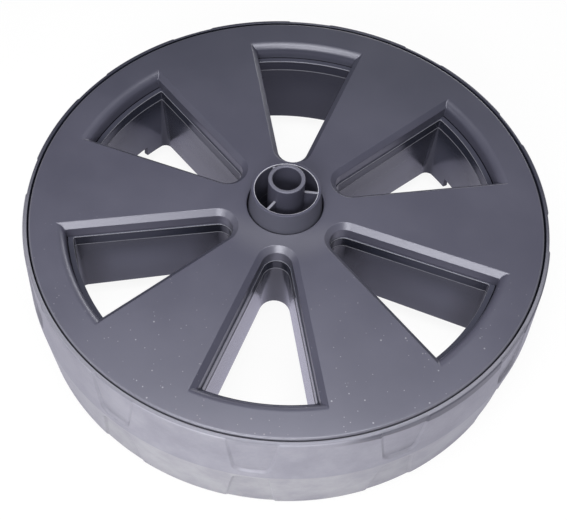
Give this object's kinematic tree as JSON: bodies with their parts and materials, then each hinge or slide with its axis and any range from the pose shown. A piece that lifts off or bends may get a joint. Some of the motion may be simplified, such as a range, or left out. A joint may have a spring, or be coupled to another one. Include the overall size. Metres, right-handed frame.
{
  "type": "wheel",
  "caption": "Plastic wheel for a garden machine: moulded body with a drafted, recessed tread and an axle tube, and a clip-in front cover with wedge-shaped windows.",
  "frame": {"origin": "on the wheel's axis, in the plane of the tread's back edge", "axes": "+Z along the axle bore, from the back edge towards the cover's face; one spoke lies along +X"},
  "size_m": [0.23, 0.23, 0.074],
  "materials": {
    "body_plastic": "satin",
    "cover_plastic": "satin"
  },
  "bodies": {
    "root": {"wheel_body": "body_plastic", "wheel_cover": "cover_plastic"}
  },
  "joints": []
}
